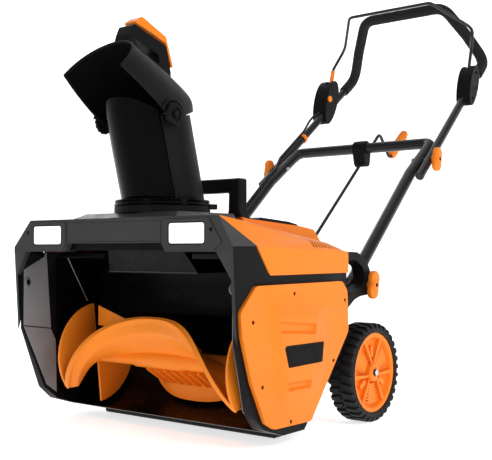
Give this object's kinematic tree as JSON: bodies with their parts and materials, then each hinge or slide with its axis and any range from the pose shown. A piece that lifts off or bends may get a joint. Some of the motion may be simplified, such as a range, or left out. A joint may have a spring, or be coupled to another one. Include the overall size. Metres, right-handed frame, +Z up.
{
  "type": "single stage snowblower",
  "caption": "Walk-behind single stage snowblower: wide auger housing, cranked discharge chute, rear wheels, folding tube handle with bail.",
  "frame": {"origin": "bottom centre of the whole machine's box, on the ground under the tyres and the scraper bar", "axes": "+Y from the auger mouth towards the operator, +X to the right of someone facing the mouth, +Z up"},
  "size_m": [0.563, 1.2101, 0.9861],
  "materials": {
    "orange_plastic": "satin moulded orange plastic",
    "black_plastic": "fine textured black plastic",
    "grey_plastic": "dark grey moulded plastic",
    "gloss_black_plastic": "polished black plastic",
    "headlight_lens": "frosted white lens",
    "tyre_rubber": "matte moulded rubber",
    "rubber": "matte rubber",
    "foam": "soft foam sleeve",
    "painted_tube": "black powder coat",
    "steel": "machined steel"
  },
  "bodies": {
    "chassis": {"auger_housing": "black_plastic", "front_bezel": "grey_plastic", "side_cover_left": "orange_plastic", "side_cover_right": "orange_plastic", "top_hood": "orange_plastic", "rear_body": "black_plastic", "discharge_funnel": "black_plastic", "battery_pack": "black_plastic", "battery_cradle": "black_plastic", "motor": "steel", "auger_bearing_left": "steel", "auger_bearing_right": "steel", "drive_belt": "rubber", "scraper_bar": "rubber", "wheel_axle": "steel", "rear_bracket_left": "black_plastic", "rear_bracket_right": "black_plastic", "carry_handle": "black_plastic", "headlight_lens_left": "headlight_lens", "headlight_lens_right": "headlight_lens", "chute_base_collar": "grey_plastic", "lower_handle": "painted_tube", "crank_bracket": "black_plastic", "switch_cable_lower": "rubber", "label_plate": "black_plastic"},
    "battery_cover": {"battery_lid": "black_plastic"},
    "auger": {"auger_rotor": "orange_plastic", "auger_shaft": "steel", "auger_pulley": "steel"},
    "motor_drive": {"motor_shaft": "steel", "motor_pulley": "steel"},
    "right_wheel": {"tyre_right": "tyre_rubber", "wheel_hub_right": "orange_plastic"},
    "left_wheel": {"tyre_left": "tyre_rubber", "wheel_hub_left": "orange_plastic"},
    "chute": {"chute_ring_gear": "grey_plastic", "chute_front_shell": "gloss_black_plastic", "chute_rear_shell": "black_plastic"},
    "deflector_hood": {"deflector": "grey_plastic", "deflector_grip": "black_plastic", "deflector_knob_left": "black_plastic", "deflector_knob_right": "black_plastic"},
    "deflector_trigger": {"deflector_lever": "orange_plastic"},
    "pinion": {"pinion_shaft": "steel"},
    "drive_shaft": {"crank_drive_shaft": "steel"},
    "crank": {"crank_rod": "painted_tube"},
    "crank_handgrip": {"crank_grip": "orange_plastic"},
    "upper_frame": {"upper_handle": "painted_tube", "foam_grip": "foam", "switch_box": "black_plastic", "pivot_box": "black_plastic", "cable_clip": "orange_plastic", "switch_cable_upper": "rubber"},
    "bail_bar": {"bail": "painted_tube", "bail_cam": "orange_plastic"},
    "button": {"safety_button": "orange_plastic"},
    "upper_right_knob": {"upper_knob_right": "orange_plastic"},
    "upper_left_knob": {"upper_knob_left": "orange_plastic"},
    "lower_right_knob": {"lower_knob_right": "orange_plastic"},
    "lower_left_knob": {"lower_knob_left": "orange_plastic"}
  },
  "joints": [
    {"name": "chute_turn", "type": "hinge", "parent": "chassis", "child": "chute", "pos_m": [0, -0.43, 0.41], "axis": [0, 0, 1], "range_deg": [-95, 95]},
    {"name": "deflector_tilt", "type": "hinge", "parent": "chute", "child": "deflector_hood", "pos_m": [0, -0.495, 0.568], "axis": [1, 0, 0], "range_deg": [0, 30]},
    {"name": "deflector_lever_squeeze", "type": "hinge", "parent": "deflector_hood", "child": "deflector_trigger", "pos_m": [0, -0.401, 0.671], "axis": [1, 0, 0], "range_deg": [0, 1.8], "stiffness_Nm_per_rad": 1.5, "springref_deg": -11.46},
    {"name": "pinion_spin", "type": "hinge", "parent": "chassis", "child": "pinion", "pos_m": [0, -0.334, 0.404], "axis": [0, 0, 1], "range_deg": [-670, 670]},
    {"name": "drive_shaft_spin", "type": "hinge", "parent": "chassis", "child": "drive_shaft", "pos_m": [0, -0.328, 0.215], "axis": [0, 1, 0], "range_deg": [-670, 670]},
    {"name": "crank_turn", "type": "hinge", "parent": "chassis", "child": "crank", "pos_m": [0, -0.0835, 0.213], "axis": [0, 0.7477, 0.664], "range_deg": [-670, 670]},
    {"name": "crank_grip_spin", "type": "hinge", "parent": "crank", "child": "crank_handgrip", "pos_m": [0, 0.48798, 0.61352], "axis": [0, 0.7477, 0.664], "continuous": true},
    {"name": "auger_spin", "type": "hinge", "parent": "chassis", "child": "auger", "pos_m": [0, -0.433, 0.13], "axis": [1, 0, 0], "continuous": true},
    {"name": "motor_spin", "type": "hinge", "parent": "chassis", "child": "motor_drive", "pos_m": [0.24, -0.273, 0.21], "axis": [1, 0, 0], "continuous": true},
    {"name": "right_wheel_spin", "type": "hinge", "parent": "chassis", "child": "right_wheel", "pos_m": [0.254, -0.128, 0.095], "axis": [1, 0, 0], "continuous": true},
    {"name": "left_wheel_spin", "type": "hinge", "parent": "chassis", "child": "left_wheel", "pos_m": [-0.254, -0.128, 0.095], "axis": [1, 0, 0], "continuous": true},
    {"name": "battery_lid_open", "type": "hinge", "parent": "chassis", "child": "battery_cover", "pos_m": [0, -0.138, 0.38], "axis": [-1, 0, 0], "range_deg": [0, 100]},
    {"name": "handle_fold", "type": "hinge", "parent": "chassis", "child": "upper_frame", "pos_m": [0, 0.229, 0.5392], "axis": [1, 0, 0], "range_deg": [0, 125]},
    {"name": "bail_squeeze", "type": "hinge", "parent": "upper_frame", "child": "bail_bar", "pos_m": [0, 0.472, 0.765], "axis": [-1, 0, 0], "range_deg": [0, 12], "stiffness_Nm_per_rad": 3, "springref_deg": -14.32},
    {"name": "safety_button_press", "type": "slide", "parent": "upper_frame", "child": "button", "axis": [-1, 0, 0], "range_m": [0, 0.0025], "stiffness_N_per_m": 400, "springref_m": -0.003},
    {"name": "upper_right_knob_turn", "type": "hinge", "parent": "upper_frame", "child": "upper_right_knob", "pos_m": [0.25, 0.229, 0.5392], "axis": [1, 0, 0], "continuous": true},
    {"name": "upper_left_knob_turn", "type": "hinge", "parent": "upper_frame", "child": "upper_left_knob", "pos_m": [-0.25, 0.229, 0.5392], "axis": [1, 0, 0], "continuous": true},
    {"name": "lower_right_knob_turn", "type": "hinge", "parent": "chassis", "child": "lower_right_knob", "pos_m": [0.26, -0.098, 0.2625], "axis": [1, 0, 0], "continuous": true},
    {"name": "lower_left_knob_turn", "type": "hinge", "parent": "chassis", "child": "lower_left_knob", "pos_m": [-0.26, -0.098, 0.2625], "axis": [1, 0, 0], "continuous": true}
  ],
  "couplings": [
    {"joint": "pinion_spin", "follows": "chute_turn", "ratio": -7},
    {"joint": "drive_shaft_spin", "follows": "chute_turn", "ratio": 7},
    {"joint": "crank_turn", "follows": "chute_turn", "ratio": 7},
    {"joint": "motor_spin", "follows": "auger_spin", "ratio": 3.4375}
  ]
}
